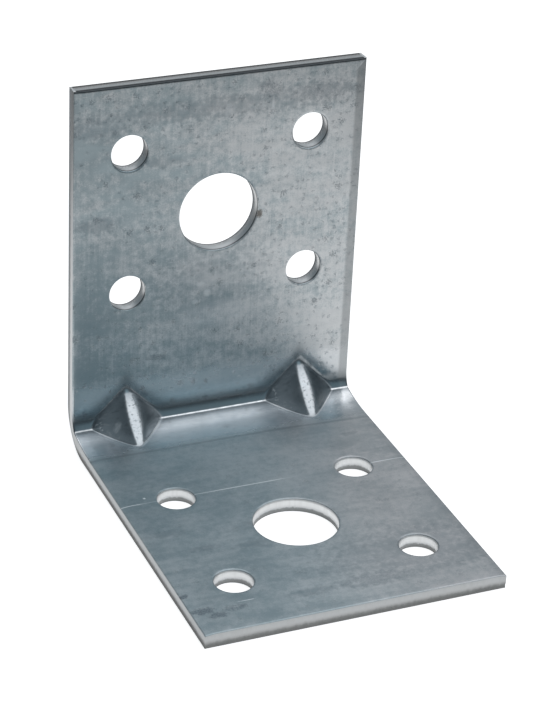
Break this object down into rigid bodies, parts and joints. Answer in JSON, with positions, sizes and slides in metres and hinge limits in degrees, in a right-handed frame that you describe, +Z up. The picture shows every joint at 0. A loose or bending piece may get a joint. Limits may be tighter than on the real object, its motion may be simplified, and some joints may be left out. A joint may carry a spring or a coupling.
{
  "type": "corner brace bracket",
  "caption": "Galvanised steel corner brace folded square from one strip, with nail holes round a bolt hole in each leg and pressed gussets in the bend.",
  "frame": {"origin": "centre of the footprint, on the underside of the base leg", "axes": "+Z up along the upright leg, +Y from the free end of the base leg towards the upright, +X along the bend"},
  "size_m": [0.04, 0.051, 0.0513],
  "materials": {
    "bracket": "zinc galvanised, satin with soft mottling"
  },
  "bodies": {
    "root": {"bracket": "bracket"}
  },
  "joints": []
}
